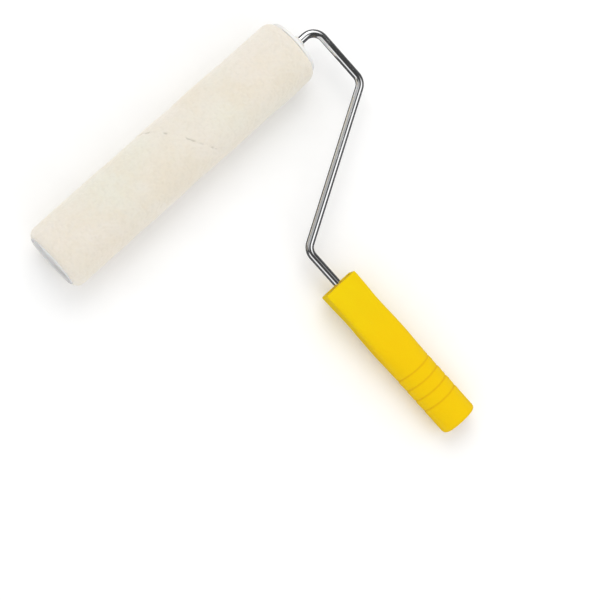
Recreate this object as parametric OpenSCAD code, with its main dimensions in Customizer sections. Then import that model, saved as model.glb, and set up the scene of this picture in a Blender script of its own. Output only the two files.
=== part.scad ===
// Paint roller with a wire cage frame, a slip-on nap cover and a hollow grip.
// The grip lies along Y with its pole socket's mouth at the origin, the roller
// turns about a line along X, and the frame rod is bent in the plane Z = 0.

/* [Roller cover] */
// Length of the core tube, which is the size that the cover is sold by
cover_l = 229; // [200:1:240]
// Diameter over the nap
nap_d = 52.5; // [48:0.5:60]
// Outside diameter of the core tube
tube_d = 42; // [41:0.5:44]
// Inside diameter of the core tube
tube_bore = 38; // [37.5:0.5:39]
// How far the nap stops short of the tube's ends
nap_setback = 1; // [0.5:0.1:3]
// Radius of the nap's rounded ends
nap_round = 4.5; // [1:0.5:5]

/* [Frame rod] */
// Diameter of the frame rod
rod_d = 6; // [5.5:0.1:6.4]
// Radius of the rod's bends, on its centre line
bend_r = 9.5; // [8:0.5:14]
// From the grip's front edge to the first bend
neck_l = 32.2; // [28:0.2:50]
// Rise of the sloping stretch, along the grip's axis
slope_rise = 64; // [50:1:90]
// From the second bend to the roller's axis
leg_l = 50.5; // [45:0.5:70]
// From the grip's axis to the leg beside the roller
leg_x = 111.9; // [108:0.1:120]
// How far the rod reaches into the grip
rod_in_grip = 57; // [30:1:60]

/* [Grip] */
// Length of the grip
grip_l = 131.8; // [125:0.2:150]
// Width of the grip's front edge
front_w = 27.6; // [26:0.2:34]
// Width at the waist behind the front edge
waist_w = 27.2; // [26:0.2:31]
// Width over the palm
palm_w = 28.8; // [28:0.2:34]
// Thickness at the front edge
front_t = 20; // [19:0.5:24]
// Thickness over the palm
palm_t = 27; // [26:0.5:32]
// Number of finger rings near the tail
ring_n = 4; // [1:1:4]
// Depth of a finger ring
ring_depth = 0.4; // [0.2:0.1:1]
// Diameter of the socket for an extension pole
socket_d = 16; // [14:0.5:16]
// Depth of the pole socket
socket_l = 40; // [30:1:42]

/* [Cage] */
// Diameter of a cage wire
wire_d = 2.5; // [2:0.1:3]
// Diameter of the arm side cap's flange
flange_d = 43; // [42.5:0.5:46]
// Thickness of the flange
flange_t = 2.6; // [2:0.1:4]
// Diameter of the bearings
bearing_d = 10; // [9:0.5:11]

/* [Hidden] */

// Facets of a round face; any value above 12 is a true curve
$fn = 64;
// Gap between pieces that slide into each other and stay
slip = 0.05;
// Radial clearance of a bearing on the rod
running = 0.05;
// Clearance between pieces that move past each other
clear = 0.3;
// How far a bend and the straight beside it overlap
lap = 0.2;
// How much thicker a bend is than its straights
swell = 0.04;

// Frame positions
front_y = grip_l;
bend_1_y = front_y + neck_l;
bend_2_y = bend_1_y + slope_rise;
roller_y = bend_2_y + leg_l;
// Middle of the cover, seen from the grip's axis
cover_x = -26.1;
half_l = cover_l / 2;

// Places along the roller's axis, counted from the middle of the cover
arm_face = half_l + clear;
arm_nose = arm_face + flange_t + 6;
arm_plug = half_l - 14;
arm_bearing_in = arm_plug - 4;
free_mouth = -half_l + 2.5;
free_inner = free_mouth + 16;
free_floor = free_mouth + 9;
free_bearing_in = free_inner + 3;
free_bearing_out = free_floor - 3;
rod_tip = free_bearing_out - 3.2;

// Radii on the roller's axis
plug_r = tube_bore / 2 - clear;
cup_r = plug_r - 2;
wire_out_r = tube_bore / 2 - clear - wire_d / 2 - 0.1;
wire_in_r = 14;
collar_t = 3.5;
washer_t = 0.8;
washer_gap = 0.2;
nut_t = 1.6;

// Grip details
edge_r = 0.6;
tail_r = 3;
plug_recess = 1.2;
pocket_w = 22;
pocket_t = 14;
pocket_l = 14;
boss_d = 13;
core_d = 15;
insert_d = socket_d + 3.5;
insert_l = socket_l + 2.5;
waist_at = 25;
palm_at = 60;
ring_at = 81.3;
ring_step = 9.5;
ring_half = 1.1;
section_n = 48;

// ---- helpers ----

// Smooth change from a to b as t runs from 0 to 1
function blend(a, b, t) =
    let (k = max(0, min(1, t)))
    a + (b - a) * k * k * (3 - 2 * k);

function unit(v) = v / norm(v);

function heading(v) = atan2(v[1], v[0]);

// Signed turn from direction a to direction b, between -180 and 180
function turn(a, b) = atan2(a[0] * b[1] - a[1] * b[0], a[0] * b[0] + a[1] * b[1]);

// Length that a bend at point i takes from each of its two straights
function trim(p, i, r) =
    (i == 0 || i == len(p) - 1) ? 0
    : r * tan(abs(turn(p[i] - p[i - 1], p[i + 1] - p[i])) / 2);

// Round bar that follows the corners p in the plane Z = 0, with bends of radius r.
// A bend is a hair thicker than the straights and laps over them, so all join cleanly.
module bent_bar(p, r, d) {
    for (i = [0 : len(p) - 2]) {
        dir = unit(p[i + 1] - p[i]);
        from = p[i] + dir * (trim(p, i, r) - (i == 0 ? 0 : lap));
        to = p[i + 1] - dir * (trim(p, i + 1, r) - (i == len(p) - 2 ? 0 : lap));
        translate([from[0], from[1], 0])
            rotate([0, 0, heading(dir)])
                rotate([0, 90, 0])
                    cylinder(h = norm(to - from), d = d);
    }
    for (i = [1 : len(p) - 2]) {
        dir = unit(p[i] - p[i - 1]);
        bend = turn(p[i] - p[i - 1], p[i + 1] - p[i]);
        side = sign(bend);
        start = p[i] - dir * trim(p, i, r);
        centre = start + side * r * [-dir[1], dir[0]];
        over = lap / r * 180 / PI;
        translate([centre[0], centre[1], 0])
            rotate([0, 0, heading(dir) - 90 * side + min(bend, 0) - over])
                rotate_extrude(angle = abs(bend) + 2 * over)
                    translate([r, 0])
                        circle(d = d + swell);
    }
}

// Places its children on the roller's axis, with local Z along +X
module on_roller(from = 0) {
    translate([cover_x + from, roller_y, 0])
        rotate([0, 90, 0])
            children();
}

// Round sleeve on the roller's axis from a to b
module sleeve(a, b, outer_r, inner_r) {
    on_roller(a)
        difference() {
            cylinder(h = b - a, r = outer_r);
            translate([0, 0, -1])
                cylinder(h = b - a + 2, r = inner_r);
        }
}

// ---- grip ----

// Half width of the grip at a distance s behind its front edge
function half_w(s) =
    (s < waist_at ? blend(front_w, waist_w, s / waist_at)
    : blend(waist_w, palm_w, (s - waist_at) / (palm_at - waist_at))) / 2;

// Half thickness of the grip at a distance s behind its front edge
function half_t(s) = blend(front_t, palm_t, (s - waist_at) / palm_at) / 2;

// Corner sharpness of the section, from a sharp block through a soft one to an ellipse
function corner(s) =
    s < waist_at ? blend(14, 6, s / waist_at) : blend(6, 2.2, (s - waist_at) / (palm_at - 5));

// Inset of the section where the edges are rounded
function round_inset(s) =
    s < edge_r ? edge_r - sqrt(edge_r * edge_r - pow(edge_r - s, 2))
    : s > grip_l - tail_r ? tail_r - sqrt(tail_r * tail_r - pow(s - grip_l + tail_r, 2))
    : 0;

// Inset at the middle of a finger ring, none outside it
function ring_inset(s) =
    max([for (i = [0 : ring_n - 1])
        let (off = abs(s - ring_at - i * ring_step) / ring_half)
        off < 1 ? ring_depth * (1 + cos(180 * off)) / 2 : 0]);

// Signed power, which draws a superellipse without gaps
function bow(v, n) = sign(v) * pow(abs(v), 2 / n);

function section(s) =
    let (inset = round_inset(s) + ring_inset(s), n = corner(s))
    [for (k = [0 : section_n - 1])
        let (a = 360 * k / section_n)
        [(half_w(s) - inset) * bow(cos(a), n), grip_l - s, (half_t(s) - inset) * bow(sin(a), n)]];

// Stations along the grip, close together at the edges and rings
stations = concat(
    [0, 0.15, 0.35],
    [for (s = [edge_r : 7.8 : 79]) s],
    [for (i = [0 : ring_n - 1]) for (k = [-1 : 0.5 : 1]) ring_at + i * ring_step + k * ring_half],
    [112, 117, 122, grip_l - tail_r],
    [for (a = [15 : 15 : 75]) grip_l - tail_r + tail_r * sin(a)],
    [grip_l - 0.02]);

module grip_solid() {
    rows = [for (s = stations) section(s)];
    n = len(stations);
    sides = [for (i = [0 : n - 2]) for (k = [0 : section_n - 1])
        let (j = (k + 1) % section_n)
        [i * section_n + k, i * section_n + j, (i + 1) * section_n + j, (i + 1) * section_n + k]];
    front = [for (k = [section_n - 1 : -1 : 0]) k];
    tail = [for (k = [0 : section_n - 1]) (n - 1) * section_n + k];
    polyhedron(points = [for (row = rows) each row], faces = concat(sides, [front, tail]));
}

// Cylinder along the grip, from a to b behind the front edge
module grip_bore(a, b, d) {
    translate([0, front_y - a, 0])
        rotate([90, 0, 0])
            cylinder(h = b - a, d = d);
}

module handle_shell() {
    color("gold")
        difference() {
            grip_solid();
            translate([-pocket_w / 2, front_y - pocket_l, -pocket_t / 2])
                cube([pocket_w, pocket_l + 1, pocket_t]);
            grip_bore(pocket_l - 1, grip_l - insert_l + 1, core_d);
            grip_bore(grip_l - insert_l, grip_l + 1, insert_d);
        }
}

module neck_plug() {
    color("goldenrod")
        difference() {
            union() {
                translate([-pocket_w / 2 + slip, front_y - pocket_l, -pocket_t / 2 + slip])
                    cube([pocket_w - 2 * slip, pocket_l - plug_recess, pocket_t - 2 * slip]);
                grip_bore(pocket_l - 1, rod_in_grip + 3, boss_d);
            }
            grip_bore(-1, rod_in_grip, rod_d);
        }
}

module tail_socket() {
    color("darkorange")
        difference() {
            grip_bore(grip_l - insert_l, grip_l, insert_d - 2 * slip);
            grip_bore(grip_l - socket_l, grip_l + 1, socket_d);
        }
}

// ---- frame ----

module frame_rod() {
    corners = [
        [0, front_y - rod_in_grip],
        [0, bend_1_y],
        [leg_x, bend_2_y],
        [leg_x, roller_y],
        [cover_x + rod_tip, roller_y],
    ];
    color("silver")
        bent_bar(corners, bend_r, rod_d);
}

module thrust_collar() {
    from = free_bearing_in + washer_gap * 2 + washer_t;
    color("gray")
        sleeve(from, from + collar_t, 5, rod_d / 2);
}

module thrust_washers() {
    color("lightgray") {
        for (from = [free_bearing_in + washer_gap, free_bearing_out - washer_gap - washer_t])
            sleeve(from, from + washer_t, 6, rod_d / 2 + slip);
    }
}

module push_nut() {
    to = free_bearing_out - 2 * washer_gap - washer_t;
    color("dimgray")
        sleeve(to - nut_t, to, 6.5, rod_d / 2);
}

// ---- cage ----

// Wire sockets and bearing seat that both end caps have
module cap_holes(face, depth) {
    for (i = [0 : 4]) {
        translate([cover_x + face, roller_y, 0])
            rotate([72 * i, 0, 0])
                translate([0, wire_in_r, 0])
                    rotate([0, 90, 0])
                        cylinder(h = depth, d = wire_d);
    }
}

module arm_cap() {
    color("white")
        difference() {
            union() {
                on_roller(arm_face)
                    cylinder(h = flange_t, d = flange_d);
                on_roller(arm_plug)
                    cylinder(h = arm_face - arm_plug + 1, r = plug_r);
            }
            on_roller(arm_plug - 1)
                cylinder(h = 30, d = bearing_d);
            cap_holes(arm_plug - 1, 9);
        }
}

module arm_bearing() {
    color("whitesmoke")
        sleeve(arm_bearing_in, arm_nose, bearing_d / 2, rod_d / 2 + running);
}

module free_cap() {
    color("white")
        difference() {
            on_roller(free_mouth)
                cylinder(h = free_inner - free_mouth, r = plug_r);
            on_roller(free_mouth - 1)
                cylinder(h = free_floor - free_mouth + 1, r = cup_r);
            on_roller(free_floor - 1)
                cylinder(h = 30, d = bearing_d);
            cap_holes(free_inner - 5, 6);
        }
}

module free_bearing() {
    color("whitesmoke")
        sleeve(free_bearing_out, free_bearing_in, bearing_d / 2, rod_d / 2 + running);
}

// One spring wire, held in both caps and bowed out towards the tube
module cage_wire(i) {
    rise = 18;
    corners = [
        [free_inner - 5, wire_in_r],
        [free_inner + 3, wire_in_r],
        [free_inner + 3 + rise, wire_out_r],
        [arm_plug - 3 - rise, wire_out_r],
        [arm_plug - 3, wire_in_r],
        [arm_plug + 8, wire_in_r],
    ];
    color("lightsteelblue")
        translate([cover_x, roller_y, 0])
            rotate([72 * i, 0, 0])
                bent_bar(corners, 6, wire_d);
}

module centre_spider() {
    half_t = 3;
    color("ivory")
        difference() {
            on_roller(-half_t)
                cylinder(h = 2 * half_t, r = wire_out_r);
            on_roller(-half_t - 1)
                cylinder(h = 2 * half_t + 2, r = rod_d / 2 + 1);
            for (i = [0 : 4]) {
                translate([cover_x - half_t - 1, roller_y, 0])
                    rotate([72 * i, 0, 0])
                        translate([0, wire_out_r, 0])
                            rotate([0, 90, 0])
                                cylinder(h = 2 * half_t + 2, d = wire_d);
            }
        }
}

module dust_cap() {
    color("snow")
        difference() {
            on_roller(free_mouth + 0.8)
                cylinder(h = 4, r = cup_r);
            on_roller(free_mouth + 2.4)
                cylinder(h = 10, r = cup_r - 1.6);
        }
}

// ---- cover ----

module core_tube() {
    color("white")
        sleeve(-half_l, half_l, tube_d / 2, tube_bore / 2);
}

module nap_cover() {
    pile = (nap_d - tube_d) / 2;
    length = cover_l - 2 * nap_setback;
    color("cornsilk")
        on_roller(-length / 2)
            rotate_extrude()
                translate([tube_d / 2, 0])
                    intersection() {
                        square([pile, length]);
                        union() {
                            square([pile - nap_round, length]);
                            translate([0, nap_round])
                                square([pile, length - 2 * nap_round]);
                            for (y = [nap_round, length - nap_round])
                                translate([pile - nap_round, y])
                                    circle(r = nap_round);
                        }
                    }
}

handle_shell();
neck_plug();
tail_socket();
frame_rod();
thrust_collar();
thrust_washers();
push_nut();
arm_cap();
arm_bearing();
free_cap();
free_bearing();
cage_wire(0);  // cage_wire_1
cage_wire(1);  // cage_wire_2
cage_wire(2);  // cage_wire_3
cage_wire(3);  // cage_wire_4
cage_wire(4);  // cage_wire_5
centre_spider();
dust_cap();
core_tube();
nap_cover();
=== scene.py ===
"""Paint roller: nap cover, wire cage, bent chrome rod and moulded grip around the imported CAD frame."""
import math

import bpy
import numpy as np
from mathutils import Matrix, Vector


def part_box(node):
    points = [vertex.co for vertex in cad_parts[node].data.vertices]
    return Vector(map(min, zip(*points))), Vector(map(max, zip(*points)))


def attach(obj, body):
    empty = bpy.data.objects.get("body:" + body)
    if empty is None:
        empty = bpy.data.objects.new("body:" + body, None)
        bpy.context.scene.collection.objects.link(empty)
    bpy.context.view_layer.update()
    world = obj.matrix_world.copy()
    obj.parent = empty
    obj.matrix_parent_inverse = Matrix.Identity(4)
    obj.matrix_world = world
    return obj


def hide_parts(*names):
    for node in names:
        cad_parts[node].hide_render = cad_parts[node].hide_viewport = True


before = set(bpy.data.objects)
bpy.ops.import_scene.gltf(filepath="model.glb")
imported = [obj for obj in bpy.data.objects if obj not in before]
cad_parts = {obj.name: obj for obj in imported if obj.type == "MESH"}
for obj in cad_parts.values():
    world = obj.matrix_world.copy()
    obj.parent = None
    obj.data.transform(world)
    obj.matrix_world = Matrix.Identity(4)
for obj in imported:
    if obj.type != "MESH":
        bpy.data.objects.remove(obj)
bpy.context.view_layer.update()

bl_info = {
    "name": "Paint Roller Builder",
    "version": (1, 0, 0),
    "blender": (4, 5, 0),
    "location": "View3D > Sidebar > Paint Roller",
    "description": "Builds a paint roller's nap, cage, bent rod and moulded grip around its CAD frame",
    "category": "Object",
}

MM = 0.001
# How much thicker the CAD rod is at its bends than along its straights
BEND_SWELL = 0.04 * MM


def middle(node):
    """Centre of a CAD node's box at rest, as an array."""
    low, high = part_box(node)
    return (np.array(low) + np.array(high)) / 2


def extent(node):
    """Side lengths of a CAD node's box at rest, as an array."""
    low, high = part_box(node)
    return np.array(high) - np.array(low)


# Measures that the frame gives
ROLLER = middle("core_tube")
TUBE_LENGTH, TUBE_D = extent("core_tube")[:2]
NAP_LENGTH, NAP_D = extent("nap_cover")[:2]
GRIP_LENGTH = extent("handle_shell")[1]
FRONT_Y = float(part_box("handle_shell")[1][1])
ROD_D = float(extent("frame_rod")[2]) - BEND_SWELL
LEG_X = float(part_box("frame_rod")[1][0]) - ROD_D / 2
ROD_TAIL_Y = float(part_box("frame_rod")[0][1])
ROD_TIP_X = float(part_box("frame_rod")[0][0])


def from_roller(node):
    """Low and high corner of a CAD node's box at rest, counted from the middle of the core tube."""
    return [np.array(corner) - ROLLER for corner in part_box(node)]


# ---- sizes and colours a user may change ----

def metres(name, description, default):
    """A length setting, in metres."""
    return bpy.props.FloatProperty(name=name, description=description, default=default,
                                   unit="LENGTH", subtype="DISTANCE", precision=5)


def tint(name, description, default):
    """A colour setting, in linear red, green and blue."""
    return bpy.props.FloatVectorProperty(name=name, description=description, default=default,
                                         size=3, min=0.0, max=1.0, subtype="COLOR")


class PAINTROLLER_PG_nap(bpy.types.PropertyGroup):
    """The pile on the cover and the tube under it"""
    tube_bore: metres("Tube Bore", "Inside diameter of the core tube", 38 * MM)
    end_round: metres("End Round", "Length over which the pile rounds down at its ends", 6.5 * MM)
    arm_reach: metres("Arm Reach", "How far the pile spreads towards the flange", 1.1 * MM)
    sink: metres("Pile Sink", "How far the pile's body lies inside the tips of its fibres", 0.5 * MM)
    step: metres("Pile Step", "Spacing of the grid that the pile is drawn on", 0.66 * MM)
    tuft: metres("Tuft Height", "How far the tufts rise and fall", 0.2 * MM)
    wave: metres("Nap Wave", "How far the whole nap swells and sinks", 0.45 * MM)
    seam_depth: metres("Seam Depth", "Depth of the line where the fabric strip meets itself", 0.75 * MM)
    seam_width: metres("Seam Width", "Half width of that line", 0.75 * MM)
    seam_pitch: metres("Seam Pitch", "Length of one turn of the fabric strip", 97 * MM)
    seam_start: bpy.props.FloatProperty(name="Seam Start", default=math.radians(51.5), subtype="ANGLE",
                                        description="Angle of the seam at the middle of the cover")
    fibres: bpy.props.IntProperty(name="Fibres", description="Loose fibres that stand out of the pile",
                                  default=19000, min=0)
    fibre_length: metres("Fibre Length", "Length of a loose fibre", 2.5 * MM)
    fibre_width: metres("Fibre Width", "Thickness of a loose fibre at its root", 0.16 * MM)
    cream: tint("Cream", "Colour of the pile in the light", (0.75, 0.70, 0.62))
    warm: tint("Warm", "Colour of the warmer patches", (0.735, 0.67, 0.555))
    grey: tint("Grey", "Colour of the greyer tufts", (0.70, 0.68, 0.58))
    rose: tint("Rose", "Faint rose cast of some broad patches", (0.785, 0.71, 0.645))
    moss: tint("Moss", "Faint green cast of other broad patches", (0.73, 0.72, 0.625))
    # The tube's colour is a greyer white than the caps: painted shade for the shaded wall in the tube's
    # mouth.
    tube: tint("Tube", "Colour of the core tube", (0.75, 0.75, 0.745))


class PAINTROLLER_PG_grip(bpy.types.PropertyGroup):
    """The moulded grip, its front plug and its pole socket"""
    front_w: metres("Front Width", "Width at the front edge", 27.6 * MM)
    waist_w: metres("Waist Width", "Width just behind the front edge", 27.2 * MM)
    palm_w: metres("Palm Width", "Width over the palm", 28.8 * MM)
    front_t: metres("Front Thickness", "Thickness at the front edge", 20 * MM)
    palm_t: metres("Palm Thickness", "Thickness over the palm", 27 * MM)
    front_round: metres("Front Round", "Radius of the front edge", 0.7 * MM)
    tail_round: metres("Tail Round", "Radius of the tail's edge", 3 * MM)
    pocket_w: metres("Pocket Width", "Width of the pocket for the plug", 22 * MM)
    pocket_t: metres("Pocket Thickness", "Height of the pocket for the plug", 14 * MM)
    pocket_l: metres("Pocket Depth", "Depth of the pocket for the plug", 14 * MM)
    plug_recess: metres("Plug Recess", "How far the plug sits behind the rim", 0.6 * MM)
    dish: metres("Thumb Dish", "Depth of the dish in the two flat faces", 0.45 * MM)
    ring_at: metres("First Ring", "From the front edge to the first finger ring", 81.3 * MM)
    ring_step: metres("Ring Step", "From one finger ring to the next", 9.5 * MM)
    ring_count: bpy.props.IntProperty(name="Rings", description="Number of finger rings", default=4, min=0)
    ring_depth: metres("Ring Depth", "Depth of a finger ring", 0.4 * MM)
    ring_half: metres("Ring Half Width", "Half width of a finger ring", 1.1 * MM)
    ring_arch: metres("Ring Arch", "How far a ring bows to the tail on the flat faces", 0.8 * MM)
    ring_swell: metres("Ring Swell", "Height of the roll behind each ring", 0.16 * MM)
    socket_d: metres("Socket Diameter", "Inside diameter of the pole socket", 16 * MM)
    socket_l: metres("Socket Depth", "Depth of the pole socket", 40 * MM)
    insert_d: metres("Insert Diameter", "Outside diameter of the pole socket", 19.4 * MM)
    insert_l: metres("Insert Length", "Length of the pole socket's insert", 42.5 * MM)
    yellow: tint("Yellow", "Colour of the grip's front", (0.80, 0.58, 0.0015))
    # The palm colour is painted shade: the grip turns warmer and deeper towards the palm, standing in for
    # a holding hand's shade.
    palm_shade: tint("Amber", "Warmer colour of the thick palm", (0.815, 0.535, 0.001))
    # Ochre is also painted shade in the finger ring grooves; elsewhere it is the deeper tone of the colour
    # clouds and the socket's own colour.
    ochre: tint("Ochre", "Deeper colour where the plastic is thick or in a groove", (0.70, 0.39, 0.002))
    plug: tint("Plug", "Colour of the front plug", (0.74, 0.46, 0.003))


class PAINTROLLER_PG_frame(bpy.types.PropertyGroup):
    """The bent rod and the metal parts of the cage"""
    neck_l: metres("Neck", "From the grip's front edge to the first bend", 32.2 * MM)
    slope_rise: metres("Slope Rise", "Rise of the sloping stretch along the grip's axis", 64 * MM)
    bend_r: metres("Bend Radius", "Radius of the rod's bends on its centre line", 9.5 * MM)
    wire_d: metres("Wire Diameter", "Diameter of a cage wire", 2.5 * MM)
    wire_bend: metres("Wire Bend Radius", "Radius of a cage wire's bends", 6 * MM)
    chrome: tint("Chrome", "Colour of the plated rod", (0.86, 0.865, 0.87))
    steel: tint("Steel", "Colour of the zinc plated wires", (0.56, 0.575, 0.60))


class PAINTROLLER_PG_cage(bpy.types.PropertyGroup):
    """The plastic parts of the cage"""
    flange_t: metres("Flange", "Thickness of the arm side cap's flange", 2.6 * MM)
    seat_r: metres("Bearing Seat", "Radius of the bearing seats", 5 * MM)
    white: tint("White", "Colour of the caps", (0.80, 0.80, 0.79))
    nylon: tint("Nylon", "Colour of the bearings", (0.78, 0.77, 0.72))


class PAINTROLLER_PG_stage(bpy.types.PropertyGroup):
    """Camera, floor and light"""
    eye: bpy.props.FloatVectorProperty(name="Camera", description="Place of the camera", size=3,
                                       default=(-0.2524, 0.2475, 1.2603), subtype="TRANSLATION")
    look: bpy.props.FloatVectorProperty(name="Look", description="Direction that the camera looks in",
                                        size=3, default=(0.1746, -0.0822, -0.9812), subtype="DIRECTION")
    up: bpy.props.FloatVectorProperty(name="Up", description="Direction that is up in the view", size=3,
                                      default=(0.6677, 0.7423, 0.0566), subtype="DIRECTION")
    lens: bpy.props.FloatProperty(name="Lens", description="Focal length in millimetres", default=108.6)
    floor: tint("Floor", "Colour of the floor", (0.95, 0.95, 0.95))
    room: bpy.props.FloatProperty(name="Room Light", description="Even light from all round", default=0.92)
    key: bpy.props.FloatProperty(name="Key Light", description="Power of the large soft light in watts",
                                 default=9.0)
    fill: bpy.props.FloatProperty(name="Fill Light", description="Power of the weak soft light in watts",
                                  default=3.6)


# ---- shapes worked out as whole arrays ----

def unit(v):
    """Each vector divided by its own length."""
    return v / np.linalg.norm(v, axis=-1, keepdims=True)


def ease(a, b, t):
    """Smooth change from a to b: a + (b - a)·(3k² - 2k³), with k being t held between 0 and 1."""
    k = np.clip(t, 0, 1)
    return a + (b - a) * k * k * (3 - 2 * k)


def value_noise(points, cell, seed):
    """Random numbers at the corners of cubes of side cell, blended smoothly inside each cube, -1 to 1."""
    table = np.random.default_rng(seed).uniform(-1, 1, (32, 32, 32))
    place = points / cell
    base = np.floor(place).astype(int)
    part = ease(0, 1, place - base)
    total = np.zeros(points.shape[:-1])
    for corner in np.ndindex(2, 2, 2):
        at = (base + corner) % 32
        share = np.where(np.array(corner) == 1, part, 1 - part).prod(axis=-1)
        total += share * table[at[..., 0], at[..., 1], at[..., 2]]
    return total


def rounded(corners, radii, steps=5, closed=True):
    """Outline with rounded corners. Each corner is cut back by r·tan(turn/2) along its two sides and
    joined by an arc of radius r; a point just before and after each arc keeps the flats flat."""
    p = np.array(corners, float)
    before, here, after = (np.roll(p, 1, 0), p, np.roll(p, -1, 0)) if closed else (p[:-2], p[1:-1], p[2:])
    r = np.broadcast_to(np.array(radii, float), len(here))[:, None]
    into = unit(here - before)
    out = unit(after - here)
    turn = np.arctan2(into[:, 0] * out[:, 1] - into[:, 1] * out[:, 0], (into * out).sum(1))[:, None]
    cut = r * np.tan(np.abs(turn) / 2)
    side = np.sign(turn)
    left = np.stack([-into[:, 1], into[:, 0]], 1)
    centre = here - into * cut + side * r * left
    angle = turn * np.linspace(0, 1, steps + 1)
    arm = -side * left
    arc_x = centre[:, :1] + r * (arm[:, :1] * np.cos(angle) - arm[:, 1:] * np.sin(angle))
    arc_y = centre[:, 1:] + r * (arm[:, :1] * np.sin(angle) + arm[:, 1:] * np.cos(angle))
    arc = np.stack([arc_x, arc_y], -1)
    guard = 0.2 * r
    lead = (here - into * (cut + guard))[:, None]
    trail = (here + out * (cut + guard))[:, None]
    line = np.concatenate([lead, arc, trail], 1).reshape(-1, 2)
    return line if closed else np.concatenate([p[:1], line, p[-1:]])


def refined(line, step):
    """The same line with more points: places step apart along its length are added between its own."""
    along = np.concatenate([[0], np.cumsum(np.linalg.norm(np.diff(line, axis=0), axis=1))])
    extra = np.linspace(0, along[-1], max(2, int(along[-1] / step)))
    gap = np.abs(extra[:, None] - along[None, :]).min(1)
    at = np.sort(np.concatenate([along, extra[gap > step / 4]]))
    return np.stack([np.interp(at, along, line[:, k]) for k in range(line.shape[1])], 1)


def superellipse(half_w, half_t, power, angle):
    """Distance from the centre to a superellipse: ((|cos a|/w)^n + (|sin a|/t)^n)^(-1/n)."""
    wide = (np.abs(np.cos(angle)) / half_w) ** power
    tall = (np.abs(np.sin(angle)) / half_t) ** power
    return (wide + tall) ** (-1 / power)


# ---- meshes ----

def add_mesh(name, points, quads, quad_uv, triangles, triangle_uv, marks=None):
    """Puts whole arrays into a mesh object at the origin. If the volume that the faces enclose comes
    out negative, every face is turned round, so that all of them point outwards."""
    if not np.isfinite(points).all():
        raise ValueError(f"{name} has points that aren't numbers")
    halves = [quads[:, [0, 1, 2]], quads[:, [0, 2, 3]], triangles]
    tri = points[np.concatenate(halves)]
    if np.einsum("ij,ij->", tri[:, 0], np.cross(tri[:, 1], tri[:, 2])) < 0:
        quads, quad_uv = quads[:, ::-1], quad_uv[:, ::-1]
        triangles, triangle_uv = triangles[:, ::-1], triangle_uv[:, ::-1]
    mesh = bpy.data.meshes.new(name)
    corners = np.concatenate([quads.ravel(), triangles.ravel()]).astype(np.int32)
    starts = np.concatenate([np.arange(len(quads)) * 4, len(quads) * 4 + np.arange(len(triangles)) * 3])
    mesh.vertices.add(len(points))
    mesh.vertices.foreach_set("co", points.astype(np.float32).ravel())
    mesh.loops.add(len(corners))
    mesh.loops.foreach_set("vertex_index", corners)
    mesh.polygons.add(len(starts))
    mesh.polygons.foreach_set("loop_start", starts.astype(np.int32))
    mesh.polygons.foreach_set("use_smooth", np.ones(len(starts), bool))
    mesh.update(calc_edges=True)
    layer = mesh.uv_layers.new(name="surface")
    flat = np.concatenate([quad_uv.reshape(-1, 2), triangle_uv.reshape(-1, 2)])
    layer.data.foreach_set("uv", flat.astype(np.float32).ravel())
    for key, values in (marks or {}).items():
        mark = mesh.attributes.new(key, "FLOAT", "POINT")
        mark.data.foreach_set("value", values.astype(np.float32).ravel())
    if mesh.validate():
        raise ValueError(f"{name} has faces that don't fit together")
    piece = bpy.data.objects.new(name, mesh)
    bpy.context.scene.collection.objects.link(piece)
    return piece


def skin(name, grid, closed=False, along=None, marks=None):
    """Skin over grid[i, j], where i runs along the piece and j round it. With closed, the last row
    joins the first. Otherwise the first and last rows are single points, the poles, joined by fans."""
    rows = grid if closed else grid[1:-1]
    count, sides = rows.shape[:2]
    along = np.arange(count) / count if along is None else along[1:-1]
    along = np.append(along, 2 * along[-1] - along[-2])
    i, j = np.meshgrid(np.arange(count if closed else count - 1), np.arange(sides), indexing="ij")
    i, j = i.ravel(), j.ravel()
    down, right = (i + 1) % count, (j + 1) % sides
    quads = np.stack([i * sides + j, i * sides + right, down * sides + right, down * sides + j], 1)
    u0, u1, v0, v1 = j / sides, (j + 1) / sides, along[i], along[i + 1]
    quad_uv = np.stack([np.stack(c, 1) for c in ((u0, v0), (u1, v0), (u1, v1), (u0, v1))], 1)
    points = rows.reshape(-1, 3)
    fans = np.zeros((0, 3), int)
    fan_uv = np.zeros((0, 3, 2))
    if not closed:
        j = np.arange(sides)
        right = (j + 1) % sides
        pole = count * sides
        last = (count - 1) * sides
        points = np.concatenate([points, grid[0, :1], grid[-1, :1]])
        fans = np.concatenate([np.stack([np.full(sides, pole), right, j], 1),
                               np.stack([np.full(sides, pole + 1), last + j, last + right], 1)])
        fan_uv = np.zeros((2 * sides, 3, 2))
    return add_mesh(name, points, quads, quad_uv, fans, fan_uv, marks)


def turned(name, outline, closed=True, sides=128, axis="X", centre=ROLLER):
    """Turned piece: a point (u, r) of the outline goes to centre + u·axis + r·(cos t, sin t) across
    the axis, for every angle t."""
    t = np.linspace(0, 2 * np.pi, sides, endpoint=False)[None, :]
    u, r = outline[:, :1], outline[:, 1:]
    flat = np.broadcast_to(u, (len(outline), sides))
    wide, tall = r * np.cos(t), r * np.sin(t)
    grid = np.stack([flat, wide, tall] if axis == "X" else [wide, flat, tall], -1) + centre
    return skin(name, grid, closed)


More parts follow.
